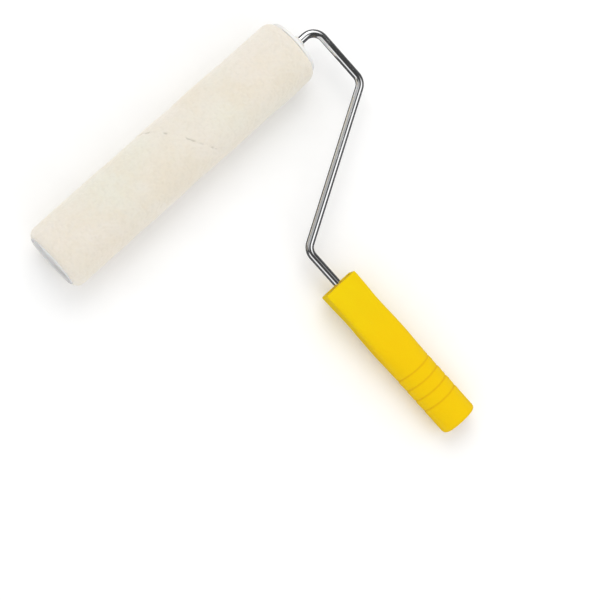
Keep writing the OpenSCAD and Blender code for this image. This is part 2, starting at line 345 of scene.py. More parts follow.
def bar(name, path, normal, radius, tip, sides=48):
    """Round bar along a path in one plane: rings of that radius stand across the path, and within tip
    of each end the radius shrinks by tip - √(tip² - (tip - d)²), with d the distance to the end."""
    along = np.concatenate([[0], np.cumsum(np.linalg.norm(np.diff(path, axis=0), axis=1))])
    near = tip * (1 - np.cos(np.linspace(0, np.pi / 2, 6)))
    inner = along[(along > 1.5 * tip) & (along < along[-1] - 1.5 * tip)]
    at = np.concatenate([near, inner, along[-1] - near[::-1]])
    centre = np.stack([np.interp(at, along, path[:, k]) for k in range(3)], 1)
    heading = unit(np.gradient(centre, at, axis=0))
    across = np.cross(normal, heading)
    d = np.minimum(np.minimum(at, at[-1] - at), tip)
    size = radius - tip + np.sqrt(np.maximum(tip ** 2 - (tip - d) ** 2, 0))
    t = np.linspace(0, 2 * np.pi, sides, endpoint=False)[None, :, None]
    ring = across[:, None] * np.cos(t) + np.array(normal)[None, None] * np.sin(t)
    grid = centre[:, None] + size[:, None, None] * ring
    grid = np.concatenate([np.repeat(centre[:1, None], sides, 1), grid,
                           np.repeat(centre[-1:, None], sides, 1)])
    return skin(name, grid, along=np.concatenate([[0], at, at[-1:]]))


# ---- materials ----

def feed(tree, node, values):
    """Gives a node's inputs their values: a socket is linked, and anything else is set."""
    for key, value in values.items():
        if isinstance(value, bpy.types.NodeSocket):
            tree.links.new(value, node.inputs[key])
        else:
            node.inputs[key].default_value = value


def add_node(tree, kind, values=None, **settings):
    """A shader node of that kind, with settings on the node and values on its inputs."""
    made = tree.nodes.new("ShaderNode" + kind)
    for key, value in settings.items():
        setattr(made, key, value)
    feed(tree, made, values or {})
    return made


def opaque(colour):
    """A fixed colour with an alpha of 1; a socket stays as it is."""
    return colour if isinstance(colour, bpy.types.NodeSocket) else (*colour[:3], 1)


def mix_colour(tree, factor, a, b):
    """Colour between a and b; each of the three is a socket or a fixed value."""
    made = add_node(tree, "Mix", data_type="RGBA")
    feed(tree, made, {0: factor, 6: opaque(a), 7: opaque(b)})
    return made.outputs[2]


def add_noise(tree, place, scale, detail, **inputs):
    """Noise over a place, with further inputs of the node by name. A seed W makes it four-dimensional."""
    kind = "4D" if "W" in inputs else "3D"
    values = {"Vector": place, "Scale": scale, "Detail": detail, **inputs}
    return add_node(tree, "TexNoise", values, noise_dimensions=kind).outputs["Fac"]


def remap(tree, value, low, high, to_low, to_high, smooth=True):
    """Value taken from the range low to high into the range to_low to to_high."""
    kind = "SMOOTHSTEP" if smooth else "LINEAR"
    made = add_node(tree, "MapRange", {0: value, 1: low, 2: high, 3: to_low, 4: to_high},
                    interpolation_type=kind)
    return made.outputs[0]


def arithmetic(tree, operation, a, b, c=0.0):
    """Result of one sum on two or three values or sockets."""
    return add_node(tree, "Math", {0: a, 1: b, 2: c}, operation=operation).outputs[0]


def new_group(name, inputs, outputs):
    """An empty shader node group with those named sockets, and its input and output nodes."""
    tree = bpy.data.node_groups.new(name, "ShaderNodeTree")
    for label, kind, default in inputs:
        socket = tree.interface.new_socket(label, in_out="INPUT", socket_type="NodeSocket" + kind)
        if default is not None:
            socket.default_value = default
    for label, kind in outputs:
        tree.interface.new_socket(label, in_out="OUTPUT", socket_type="NodeSocket" + kind)
    return tree, tree.nodes.new("NodeGroupInput").outputs, tree.nodes.new("NodeGroupOutput").inputs


def moulded_grain():
    """Fine spark grain of a mould, with the faint clouds where the plastic flowed."""
    name = "Moulded Grain"
    if name in bpy.data.node_groups:
        return bpy.data.node_groups[name]
    tree, given, out = new_group(name, [("Vector", "Vector", None), ("Grain Scale", "Float", 1500.0),
                                        ("Cloud Scale", "Float", 45.0)],
                                 [("Height", "Float"), ("Cloud", "Float")])
    fine = add_noise(tree, given[0], given[1], 3.0, Roughness=0.6)
    pits = add_node(tree, "TexVoronoi", {"Vector": given[0], "Scale": given[1]})
    height = arithmetic(tree, "MULTIPLY_ADD", pits.outputs["Distance"], 0.5, fine)
    cloud = add_noise(tree, given[0], given[2], 4.0, Roughness=0.55, Distortion=0.6)
    tree.links.new(height, out["Height"])
    tree.links.new(remap(tree, cloud, 0.3, 0.7, 0.0, 1.0), out["Cloud"])
    return tree


def handling_wear():
    """Rubbed patches and hair scratches that use leaves on a surface."""
    name = "Handling Wear"
    if name in bpy.data.node_groups:
        return bpy.data.node_groups[name]
    tree, given, out = new_group(name, [("Vector", "Vector", None), ("Patch Scale", "Float", 60.0),
                                        ("Scratch Scale", "Float", 260.0), ("Seed", "Float", 0.0)],
                                 [("Rubbed", "Float"), ("Scratches", "Float")])
    patch = add_noise(tree, given[0], given[1], 5.0, W=given[3], Roughness=0.62)
    lean = add_node(tree, "VectorMath", {0: given[0], 1: (1.0, 0.14, 0.3)}, operation="MULTIPLY")
    hair = add_noise(tree, lean.outputs[0], given[2], 2.0, W=given[3], Distortion=1.2)
    line = arithmetic(tree, "ABSOLUTE", arithmetic(tree, "SUBTRACT", hair, 0.5), 0.0)
    tree.links.new(remap(tree, patch, 0.5, 0.72, 0.0, 1.0), out["Rubbed"])
    scratch = arithmetic(tree, "MULTIPLY", remap(tree, line, 0.0, 0.012, 1.0, 0.0),
                         remap(tree, patch, 0.42, 0.62, 0.0, 1.0))
    tree.links.new(scratch, out["Scratches"])
    return tree


def new_material(name):
    """A material with one Principled shader; gives the material, its tree and the shader."""
    made = bpy.data.materials.new(name)
    made.use_nodes = True
    shader = made.node_tree.nodes["Principled BSDF"]
    return made, made.node_tree, shader


def place_group(tree, group, values):
    """A node that stands for a group in a material, with its own values."""
    return add_node(tree, "Group", values, node_tree=group).outputs


def add_bump(tree, shader, height, distance, strength=1.0):
    """Feeds the shader's normal from a height, where a height of 1 is distance metres."""
    bump = add_node(tree, "Bump", {"Height": height, "Distance": distance, "Strength": strength})
    tree.links.new(bump.outputs[0], shader.inputs["Normal"])


def object_place(tree):
    """Object coordinates, in metres."""
    return add_node(tree, "TexCoord").outputs["Object"]


def moulded_plastic(name, colour, deep, roughness, grain, specular, scatter, painted_shades=()):
    """Injection moulded plastic: colour clouds, spark grain, rubbed patches and hair scratches. Each
    pair in painted_shades is an attribute of the mesh and the colour of painted shade that it brings in."""
    if name in bpy.data.materials:
        return bpy.data.materials[name]
    made, tree, shader = new_material(name)
    place = object_place(tree)
    grained = place_group(tree, moulded_grain(), {"Vector": place, "Grain Scale": grain})
    worn = place_group(tree, handling_wear(), {"Vector": place})
    half_way = [(a + b) / 2 for a, b in zip(colour, deep)]
    base = mix_colour(tree, remap(tree, grained["Cloud"], 0, 1, 0.0, 0.3), colour, half_way)
    # Each attribute listed here paints shade: its colour is mixed in where the attribute marks shade.
    for attribute, shade in painted_shades:
        share = add_node(tree, "Attribute", attribute_name=attribute).outputs["Fac"]
        base = mix_colour(tree, share, base, shade)
    paler = [min(1.0, 0.015 + 0.98 * c) for c in colour]
    base = mix_colour(tree, remap(tree, worn["Scratches"], 0, 1, 0.0, 0.25), base, paler)
    rubbed = remap(tree, worn["Rubbed"], 0, 1, roughness, roughness - 0.1)
    rough = arithmetic(tree, "MULTIPLY_ADD", worn["Scratches"], 0.15, rubbed)
    feed(tree, shader, {"Base Color": base, "Roughness": rough, "Specular IOR Level": specular,
                        "Subsurface Weight": scatter, "Subsurface Radius": (1.0, 0.6, 0.3),
                        "Subsurface Scale": 1.2 * MM})
    height = arithmetic(tree, "SUBTRACT", grained["Height"], worn["Scratches"])
    add_bump(tree, shader, height, 0.015 * MM)
    return made


def plated_metal(name, colour, roughness, streak, bump):
    """Plated wire or rod: bright metal with drawing lines along its length, which the surface map's
    second coordinate follows, and small dulled patches."""
    if name in bpy.data.materials:
        return bpy.data.materials[name]
    made, tree, shader = new_material(name)
    along = add_node(tree, "TexCoord").outputs["UV"]
    drawn = add_node(tree, "VectorMath", {0: along, 1: (60.0, 9.0, 1.0)}, operation="MULTIPLY")
    lines = add_noise(tree, drawn.outputs[0], 1.0, 4.0)
    worn = place_group(tree, handling_wear(), {"Vector": object_place(tree), "Patch Scale": 110.0})
    dull = [0.82 * c for c in colour]
    base = mix_colour(tree, remap(tree, lines, 0.35, 0.7, 0.0, streak), colour, dull)
    patchy = remap(tree, worn["Rubbed"], 0, 1, roughness, roughness + 0.12)
    rough = arithmetic(tree, "MULTIPLY_ADD", lines, 0.06, patchy)
    feed(tree, shader, {"Base Color": base, "Metallic": 1.0, "Roughness": rough})
    height = arithmetic(tree, "SUBTRACT", lines, worn["Scratches"])
    add_bump(tree, shader, height, bump)
    return made


def pressed_steel(name, colour):
    """Steel of the small pressed parts: zinc bloom in patches, and fine pitting."""
    if name in bpy.data.materials:
        return bpy.data.materials[name]
    made, tree, shader = new_material(name)
    place = object_place(tree)
    grained = place_group(tree, moulded_grain(), {"Vector": place, "Grain Scale": 2400.0,
                                                  "Cloud Scale": 180.0})
    worn = place_group(tree, handling_wear(), {"Vector": place, "Patch Scale": 150.0})
    bloom = [0.7 * c for c in colour]
    base = mix_colour(tree, grained["Cloud"], colour, bloom)
    rough = remap(tree, worn["Rubbed"], 0, 1, 0.42, 0.28)
    feed(tree, shader, {"Base Color": base, "Metallic": 1.0, "Roughness": rough})
    add_bump(tree, shader, grained["Height"], 0.02 * MM)
    return made


def nap_fabric(sizes):
    """Knitted pile: broad patches of a faint rose or green cast, warmer clouds and greyer tufts on it,
    painted shade between tufts and in the seam, soft sheen, and a bump of single fibres."""
    name = "Nap Fabric"
    if name in bpy.data.materials:
        return bpy.data.materials[name]
    made, tree, shader = new_material(name)
    place = object_place(tree)
    broad = add_noise(tree, place, 26.0, 3.0, Roughness=0.6, Distortion=0.4)
    cast = add_noise(tree, place, 15.0, 1.0)
    tufts = add_noise(tree, place, 780.0, 3.0, Roughness=0.65)
    base = mix_colour(tree, remap(tree, cast, 0.5, 0.72, 0.0, 0.9), sizes.cream, sizes.rose)
    base = mix_colour(tree, remap(tree, cast, 0.28, 0.5, 0.75, 0.0), base, sizes.moss)
    base = mix_colour(tree, remap(tree, broad, 0.38, 0.70, 0.0, 0.8), base, sizes.warm)
    base = mix_colour(tree, remap(tree, tufts, 0.4, 0.75, 0.0, 0.2), base, sizes.grey)
    # Painted shade between tufts: on the pile, low values of this attribute are the hollows between tufts,
    # which are darkened; on the loose fibres it is a random tone of each fibre.
    pile = add_node(tree, "Attribute", attribute_name="pile").outputs["Fac"]
    base = mix_colour(tree, remap(tree, pile, -1.0, 0.3, 0.14, 0.0), base,
                      [0.68 * c for c in sizes.warm])
    # Painted shade in the seam: the colour darkens along the seam's hollow.
    seam = add_node(tree, "Attribute", attribute_name="seam").outputs["Fac"]
    base = mix_colour(tree, remap(tree, seam, 0.1, 0.9, 0.0, 0.42), base, [0.5 * c for c in sizes.warm])
    rough = remap(tree, tufts, 0.3, 0.7, 0.86, 0.98)
    feed(tree, shader, {"Base Color": base, "Roughness": rough, "Specular IOR Level": 0.15,
                        "Sheen Weight": 0.6, "Sheen Roughness": 0.55,
                        "Sheen Tint": (1.0, 0.97, 0.9, 1.0), "Subsurface Weight": 0.25,
                        "Subsurface Radius": (1.0, 0.85, 0.65), "Subsurface Scale": 2.0 * MM})
    single = add_noise(tree, place, 1900.0, 3.0, Roughness=0.7)
    height = arithmetic(tree, "MULTIPLY_ADD", tufts, 1.5, single)
    add_bump(tree, shader, height, 0.2 * MM, 0.4)
    return made


def yellow_plastic(sizes):
    """The grip's yellow, with painted shade in the finger ring grooves and a painted warm shade towards
    the palm.
    """
    return moulded_plastic("Yellow Grip Plastic", sizes.yellow, sizes.ochre, 0.42, 1300.0, 0.08, 0.08,
                           painted_shades=(("palm", sizes.palm_shade), ("groove", sizes.ochre)))


def white_plastic(sizes):
    """The end caps' and spider's white."""
    return moulded_plastic("White Cap Plastic", sizes.white, [0.86 * c for c in sizes.white], 0.4,
                           1700.0, 0.4, 0.12)


def finish(piece, material, body, nodes=()):
    """Gives a piece its material and its body, and hides the CAD nodes that it stands for."""
    piece.data.materials.append(material)
    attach(piece, body)
    if nodes:
        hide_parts(*nodes)
    return piece


# ---- the nap cover ----

# Cell sizes of the random heights on the pile: tufts, clumps of tufts, ripples and broad waves
TUFT_CELL, CLUMP_CELL, RIPPLE_CELL, WAVE_CELL = 1.3 * MM, 2.8 * MM, 8 * MM, 18 * MM
# Cell sizes of the seam's wandering and of the gaps in it, and how far from the middle it stays clear
WANDER_CELL, GAP_CELL, SEAM_REACH = 4 * MM, 1.7 * MM, 30 * MM
# How far the pile's body reaches down into the tube's wall, and how much of its end stays upright
UNDERLAP, UPRIGHT = 0.05 * MM, 0.3 * MM
# How deep a loose fibre's root is sunk in the pile
ROOT_DEPTH = 1.8 * MM


def pile_measures(sizes):
    """Half the pile's length, the radius of its top, and the height of its rounded ends."""
    top = NAP_D / 2 - sizes.sink
    return (NAP_LENGTH + sizes.arm_reach) / 2, top, top - TUBE_D / 2 - UPRIGHT


def nap_outline(sizes):
    """Section of the pile, as (u, r): straight on the tube and over the top, with a quarter of an
    ellipse at each end. It reaches further towards the flange than towards the free end."""
    half, top, tall = pile_measures(sizes)
    under = TUBE_D / 2 - UNDERLAP
    a = np.linspace(0, np.pi / 2, 16)
    free = np.stack([-half + sizes.end_round * (1 - np.cos(a)), top - tall * (1 - np.sin(a))], 1)
    arm = free[::-1] * (-1, 1)
    outer = refined(np.concatenate([[(-half, under)], free, arm, [(half, under)]]), sizes.step)
    inner = np.stack([np.linspace(half, -half, 8)[1:-1], np.full(6, under)], 1)
    return np.concatenate([outer, inner]) + (sizes.arm_reach / 2, 0)


def nap_skin(sizes):
    """Pile as a skin: each point of the section, carried round the roller, moves along the section's
    outward direction by tufts, slow waves and the seam's hollow. The seam is a wandering screw line:
    it goes down by depth·exp(-(d/width)²), d being the distance across it, and the pile closes over
    it here and there, most of all far from the middle."""
    line = nap_outline(sizes)
    columns = int(round(math.pi * NAP_D / sizes.step))
    t = np.linspace(0, 2 * np.pi, columns, endpoint=False)[None, :]
    heading = unit(np.roll(line, -1, 0) - np.roll(line, 1, 0))
    outward = np.stack([-heading[:, 1], heading[:, 0]], 1)
    u, r = line[:, :1] + 0 * t, line[:, 1:] + 0 * t
    ring = np.stack([u, r * np.cos(t), r * np.sin(t)], -1)
    fine = 0.8 * value_noise(ring, TUFT_CELL, 11) + 0.2 * value_noise(ring, CLUMP_CELL, 12)
    slow = value_noise(ring, WAVE_CELL, 13) + 0.3 * value_noise(ring, RIPPLE_CELL, 14)
    turn = t - sizes.seam_start - 2 * np.pi * u / sizes.seam_pitch
    turn = (turn + np.pi) % (2 * np.pi) - np.pi
    slant = sizes.seam_pitch / math.hypot(sizes.seam_pitch, math.pi * NAP_D)
    wander = 0.5 * MM * value_noise(ring, WANDER_CELL, 17) + 0.25 * MM * value_noise(ring, TUFT_CELL, 18)
    across = turn * NAP_D / 2 * slant + wander
    gaps = 0.8 * value_noise(ring, RIPPLE_CELL, 15) + 0.9 * value_noise(ring, GAP_CELL, 16)
    broken = np.clip(0.4 + gaps, 0, 1)
    central = 0.2 + 0.8 * np.exp(-(u / SEAM_REACH) ** 2)
    seam = broken * central * np.exp(-(across / sizes.seam_width) ** 2)
    free = ease(0, 1, (line[:, 1:] - TUBE_D / 2) / (1.5 * MM))
    lift = free * (sizes.tuft * fine + sizes.wave * slow - sizes.seam_depth * seam)
    u = u + outward[:, :1] * lift
    r = r + outward[:, 1:] * lift
    grid = np.stack([u, r * np.cos(t), r * np.sin(t)], -1) + ROLLER
    # The pile and seam marks also drive painted shade in the material: darker in the hollows between tufts
    # and in the seam.
    return skin("nap", grid, closed=True, marks={"pile": np.clip(fine, -1, 1), "seam": seam})


def fibre_skin(sizes):
    """Loose fibres: each is a slim closed spike of two stretches with three sides. Its root is sunk in
    the pile, it leans at random off the outward direction, and its tip bends over."""
    rng = np.random.default_rng(21)
    count = sizes.fibres
    half, top, tall = pile_measures(sizes)
    long = sizes.end_round
    u = rng.uniform(-half, half, count)
    t = rng.uniform(0, 2 * np.pi, count)
    past = np.clip(np.abs(u) - half + long, 0, 0.97 * long) / long
    over = np.sqrt(1 - past ** 2)
    r = top - tall + tall * over
    radial = np.stack([np.zeros(count), np.cos(t), np.sin(t)], 1)
    outward = unit(radial * (over / tall)[:, None] + np.outer(past * np.sign(u) / long, (1.0, 0, 0)))
    u = u + sizes.arm_reach / 2
    place = np.stack([u, r * np.cos(t), r * np.sin(t)], 1) + ROLLER
    lean = unit(outward + rng.normal(0, 0.42, (count, 3)))
    fold = unit(lean + rng.normal(0, 0.45, (count, 3)))
    length = sizes.fibre_length * rng.uniform(0.7, 1.15, count)[:, None]
    root = place - outward * ROOT_DEPTH
    bent_at = 0.6
    knee = root + lean * length * bent_at
    end = knee + fold * length * (1 - bent_at)
    side = unit(np.cross(lean, np.array([0.31, 0.57, 0.76])))
    under = np.cross(lean, side)
    angle = np.arange(3) * 2 * np.pi / 3
    ring = side[:, None] * np.cos(angle)[None, :, None] + under[:, None] * np.sin(angle)[None, :, None]
    width = sizes.fibre_width / 2
    points = np.concatenate([root[:, None] + width * ring, knee[:, None] + 0.8 * width * ring,
                             end[:, None]], 1)
    first = (np.arange(count) * 7)[:, None, None]
    walls = first + np.array([[0, 1, 4, 3], [1, 2, 5, 4], [2, 0, 3, 5]])
    ends = first + np.array([[0, 2, 1], [3, 4, 6], [4, 5, 6], [5, 3, 6]])
    walls, ends = walls.reshape(-1, 4), ends.reshape(-1, 3)
    tone = np.repeat(rng.uniform(-0.2, 1.0, count), 7)
    return add_mesh("nap_fibres", points.reshape(-1, 3), walls, np.zeros((len(walls), 4, 2)),
                    ends, np.zeros((len(ends), 3, 2)), {"pile": tone})


class PAINTROLLER_OT_nap(bpy.types.Operator):
    """Builds the pile of the cover and the loose fibres on it"""
    bl_idname = "paint_roller.nap"
    bl_label = "Nap"

    def execute(self, context):
        sizes = context.scene.paint_roller_nap
        fabric = nap_fabric(sizes)
        nap = finish(nap_skin(sizes), fabric, "cover", ["nap_cover"])
        finish(fibre_skin(sizes), fabric, "cover")
        return {"FINISHED"}


class PAINTROLLER_OT_tube(bpy.types.Operator):
    """Builds the core tube under the pile, with rounded lips"""
    bl_idname = "paint_roller.tube"
    bl_label = "Core Tube"

    def execute(self, context):
        sizes = context.scene.paint_roller_nap
        half, outer, inner = TUBE_LENGTH / 2, TUBE_D / 2, sizes.tube_bore / 2
        corners = [(-half, inner), (-half, outer), (half, outer), (half, inner)]
        # A greyer white than the caps, as painted shade in the tube's mouth.
        plastic = moulded_plastic("Tube Plastic", sizes.tube, [0.85 * c for c in sizes.tube], 0.46,
                                  1500.0, 0.4, 0.1)
        finish(turned("tube", rounded(corners, 0.6 * MM), sides=160), plastic, "cover",
               ["core_tube"])
        return {"FINISHED"}


# ---- the grip ----

# Distances behind the grip's front edge: the waist, the full palm and the middle of the thumb dish
WAIST_AT, PALM_AT, DISH_AT = 25 * MM, 60 * MM, 24 * MM
# Length behind the waist over which the section turns from a block into an ellipse
BLOCK_FADE = 55 * MM
# Radius of the shell's hollow core, and the gap between it and the socket's insert
CORE_R, INSERT_GAP = 6.8 * MM, 0.05 * MM
# Place and half width of the low roll behind a finger ring, in half widths of the ring
ROLL_AT, ROLL_HALF = 2.6, 2.2
# Superellipse powers of a block, of the waist's section, of the palm's and of a circle
BLOCK, SOFT, OVAL, ROUND = 14, 6, 2.2, 2.0
# Superellipse powers of the pocket's wall and of its rim
POCKET, POCKET_RIM = 7.0, 6.5


def disc(s, radius):
    """Station with a round section, s behind the grip's front edge."""
    return s, radius, radius, ROUND


def section_grid(rows, angle, reach):
    """Points on the stations' sections, reach from the grip's axis at each angle."""
    return np.stack([reach * np.cos(angle), FRONT_Y - rows[:, :1] + 0 * angle, reach * np.sin(angle)], -1)


def grip_stations(sizes):
    """Rows of (s, half width, half thickness, corner power) once round the shell's wall: up the
    pocket, over the front rim, down the outside, round the tail, and up the bore to the pocket."""
    pocket_w, pocket_t = sizes.pocket_w / 2, sizes.pocket_t / 2
    lip = 0.5 * MM
    quarter = np.linspace(0, np.pi / 2, 6)
    wall = np.linspace(sizes.pocket_l, 1.5 * lip, 8)
    inner = [(s, pocket_w, pocket_t, POCKET) for s in wall]
    inner += [(lip * (1 - math.sin(a)), pocket_w + lip * (1 - math.cos(a)),
               pocket_t + lip * (1 - math.cos(a)), POCKET_RIM) for a in quarter]
    front, tail = sizes.front_round, sizes.tail_round
    s = np.concatenate([front * (1 - np.cos(np.linspace(0, np.pi / 2, 9))),
                        np.arange(front + 0.6 * MM, GRIP_LENGTH - tail, 0.6 * MM),
                        GRIP_LENGTH - tail + tail * np.sin(np.linspace(0.05, np.pi / 2, 10))])
    inset = np.where(s < front, front - np.sqrt(np.maximum(front ** 2 - (front - s) ** 2, 0)), 0)
    late = np.maximum(s - GRIP_LENGTH + tail, 0)
    inset = inset + tail - np.sqrt(np.maximum(tail ** 2 - late ** 2, 0))
    past = s - WAIST_AT
    width = np.where(past < 0, ease(sizes.front_w, sizes.waist_w, s / WAIST_AT),
                     ease(sizes.waist_w, sizes.palm_w, past / (PALM_AT - WAIST_AT)))
    thick = ease(sizes.front_t, sizes.palm_t, past / PALM_AT)
    power = np.where(past < 0, ease(BLOCK, SOFT, s / WAIST_AT), ease(SOFT, OVAL, past / BLOCK_FADE))
    outer = np.stack([s, width / 2 - inset, thick / 2 - inset, power], 1)
    bore, flare = sizes.insert_d / 2 + INSERT_GAP, 0.4 * MM
    shoulder = GRIP_LENGTH - sizes.insert_l
    back = [disc(GRIP_LENGTH, bore + flare), disc(GRIP_LENGTH - flare / 4, bore + flare / 4)]
    back += [disc(s, bore) for s in np.linspace(GRIP_LENGTH - flare, shoulder, 12)]
    back += [disc(s, CORE_R) for s in np.linspace(shoulder, sizes.pocket_l, 12)]
    return np.concatenate([np.array(inner), outer, np.array(back)]), len(inner), len(inner) + len(s)


def grip_skin(sizes):
    """Shell of the grip. A station's section is a superellipse at the distance s behind the front;
    each finger ring takes depth·(1 + cos πd)/2 off it, where d is the distance from the ring's bowed
    line in half widths, and a low roll of the same form follows it. The flat faces are dished."""
    rows, first, last = grip_stations(sizes)
    columns = 224
    angle = np.linspace(0, 2 * np.pi, columns, endpoint=False)[None, :]
    s, half_w, half_t, power = (rows[:, k:k + 1] for k in range(4))
    reach = superellipse(half_w, half_t, power, angle)
    outside = np.zeros(len(rows))
    outside[first:last] = 1
    outside = outside[:, None]
    x = reach * np.cos(angle)
    face = np.abs(np.sin(angle)) * np.clip(1 - (x / half_w) ** 2, 0, 1)
    bowed = s - sizes.ring_arch * (face - 0.5)
    cut = np.zeros_like(reach)
    roll = np.zeros_like(reach)
    for i in range(sizes.ring_count):
        off = (bowed - sizes.ring_at - i * sizes.ring_step) / sizes.ring_half
        cut = np.maximum(cut, np.where(np.abs(off) < 1, (1 + np.cos(np.pi * off)) / 2, 0))
        behind = (off - ROLL_AT) / ROLL_HALF
        roll = np.maximum(roll, np.where(np.abs(behind) < 1, (1 + np.cos(np.pi * behind)) / 2, 0))
    dish_half, dish_share = 17 * MM, 0.8
    across = np.clip(1 - (x / (dish_share * half_w)) ** 2, 0, 1)
    hollow = np.exp(-((s - DISH_AT) / dish_half) ** 2) * face * across
    change = sizes.ring_swell * roll - sizes.ring_depth * cut - sizes.dish * hollow
    reach = reach + outside * change
    # Painted shade: the palm mark warms the colour towards the tail, standing in for a holding hand's
    # shade.
    palm_shade_from, palm_shade_over = 12 * MM, 50 * MM
    # Painted shade: the groove mark deepens the colour in the finger ring grooves, where shade falls.
    marks = {"groove": outside * 0.75 * cut,
             "palm": ease(0, 1, (s - palm_shade_from) / palm_shade_over) + 0 * angle}
    return skin("grip_shell", section_grid(rows, angle, reach), closed=True, marks=marks)


def plug_skin(sizes):
    """Plug in the grip's pocket: a rounded block whose front edge is turned over, with a low boss
    round the rod and the rod's hole through it, as superellipse sections from block to circle."""
    gap, bevel, soft = 0.08 * MM, 0.5 * MM, 0.7 * MM
    half_w, half_t = sizes.pocket_w / 2 - gap, sizes.pocket_t / 2 - gap
    face = sizes.plug_recess
    turn = np.linspace(0, np.pi / 2, 6)
    rows = [(sizes.pocket_l, half_w - bevel, half_t - bevel, POCKET)]
    rows += [(s, half_w, half_t, POCKET)
             for s in np.linspace(sizes.pocket_l - bevel, face + 1.2 * soft, 6)]
    rows += [(face + soft * (1 - math.sin(a)), half_w - soft * (1 - math.cos(a)),
              half_t - soft * (1 - math.cos(a)), POCKET) for a in turn]
    boss, rise, hole = 4.6 * MM, 0.5 * MM, ROD_D / 2
    fillet_w, fillet_t, fillet_power = 8 * MM, 5.9 * MM, 3.0
    rows += [(face, fillet_w, fillet_t, fillet_power), disc(face, boss + rise + 0.1 * MM)]
    rows += [disc(face - rise * math.sin(a), boss + rise * (1 - math.sin(a)) * math.cos(a) + 0.02 * MM)
             for a in turn]
    rows += [disc(face - rise, hole + 0.25 * MM), disc(face - rise + 0.2 * MM, hole)]
    rows += [disc(s, hole) for s in np.linspace(face + rise, sizes.pocket_l, 6)]
    rows = np.array(rows)
    angle = np.linspace(0, 2 * np.pi, 128, endpoint=False)[None, :]
    reach = superellipse(*(rows[:, k:k + 1] for k in (1, 2, 3)), angle)
    return skin("front_plug", section_grid(rows, angle, reach), closed=True)


class PAINTROLLER_OT_grip(bpy.types.Operator):
    """Builds the grip's shell, with its front pocket, finger rings and tail bore"""
    bl_idname = "paint_roller.grip"
    bl_label = "Grip"

    def execute(self, context):
        sizes = context.scene.paint_roller_grip
        finish(grip_skin(sizes), yellow_plastic(sizes), "frame", ["handle_shell"])
        return {"FINISHED"}


class PAINTROLLER_OT_plug(bpy.types.Operator):
    """Builds the plug that holds the rod in the grip's front"""
    bl_idname = "paint_roller.plug"
    bl_label = "Front Plug"

    def execute(self, context):
        sizes = context.scene.paint_roller_grip
        plastic = moulded_plastic("Plug Plastic", sizes.plug, [0.85 * c for c in sizes.plug], 0.45,
                                  1500.0, 0.35, 0.05)
        finish(plug_skin(sizes), plastic, "frame", ["neck_plug"])
        return {"FINISHED"}


class PAINTROLLER_OT_socket(bpy.types.Operator):
    """Builds the socket for an extension pole in the grip's tail"""
    bl_idname = "paint_roller.socket"
    bl_label = "Pole Socket"

    def execute(self, context):
        sizes = context.scene.paint_roller_grip
        outer, inner = sizes.insert_d / 2, sizes.socket_d / 2
        corners = [(sizes.insert_l, 0), (sizes.insert_l, outer), (0, outer), (0, inner),
                   (sizes.socket_l, inner), (sizes.socket_l, 0)]
        line = rounded(corners, [0.8 * MM, 0.35 * MM, 0.7 * MM, 1.2 * MM], closed=False)
        plastic = moulded_plastic("Socket Plastic", sizes.ochre, [0.8 * c for c in sizes.ochre], 0.45,
                                  1500.0, 0.35, 0.05)
        piece = turned("pole_socket", line, closed=False, axis="Y", centre=np.zeros(3))
        finish(piece, plastic, "frame", ["tail_socket"])
        return {"FINISHED"}


# ---- the frame rod and the cage ----

def planar_path(corners, radius, step):
    """Centre line through corners in a plane, as (n, 2): straights joined by arcs of that radius."""
    return refined(rounded(corners, radius, steps=18, closed=False), step)


class PAINTROLLER_OT_rod(bpy.types.Operator):
    """Builds the bent rod from the grip to the far end of the cage"""
    bl_idname = "paint_roller.rod"
    bl_label = "Frame Rod"

    def execute(self, context):
        sizes = context.scene.paint_roller_frame
        bend_1 = FRONT_Y + sizes.neck_l
        bend_2 = bend_1 + sizes.slope_rise
        corners = [(0, ROD_TAIL_Y), (0, bend_1), (LEG_X, bend_2), (LEG_X, ROLLER[1]),
                   (ROD_TIP_X, ROLLER[1])]
        flat = planar_path(corners, sizes.bend_r, 3 * MM)
        path = np.concatenate([flat, np.zeros((len(flat), 1))], 1)
        piece = bar("frame_rod_bent", path, (0, 0, 1), ROD_D / 2, 0.7 * MM)
        finish(piece, plated_metal("Rod Chrome", sizes.chrome, 0.07, 0.5, 0.004 * MM), "frame",
               ["frame_rod"])
        return {"FINISHED"}


class PAINTROLLER_OT_wires(bpy.types.Operator):
    """Builds the five spring wires between the cage's caps"""
    bl_idname = "paint_roller.wires"
    bl_label = "Cage Wires"

    def execute(self, context):
        sizes = context.scene.paint_roller_frame
        low, high = from_roller("cage_wire_1")
        start, stop = low[0], high[0]
        ring, belly = 14 * MM, high[1] - sizes.wire_d / 2
        free_foot, arm_foot, slant = 8 * MM, 11 * MM, 18 * MM
        corners = [(start, ring), (start + free_foot, ring), (start + free_foot + slant, belly),
                   (stop - arm_foot - slant, belly), (stop - arm_foot, ring), (stop, ring)]
        flat = planar_path(corners, sizes.wire_bend, 5 * MM)
        steel = plated_metal("Wire Zinc", sizes.steel, 0.26, 0.8, 0.012 * MM)
        for k in range(5):
            turn = 2 * math.pi * k / 5
            out = np.array([0, math.cos(turn), math.sin(turn)])
            path = ROLLER + flat[:, :1] * np.array([1.0, 0, 0]) + flat[:, 1:] * out
            normal = np.array([0, -math.sin(turn), math.cos(turn)])
            piece = bar(f"spring_wire_{k + 1}", path, normal, sizes.wire_d / 2, 0.3 * MM, sides=24)
            finish(piece, steel, "cage", [f"cage_wire_{k + 1}"])
        return {"FINISHED"}


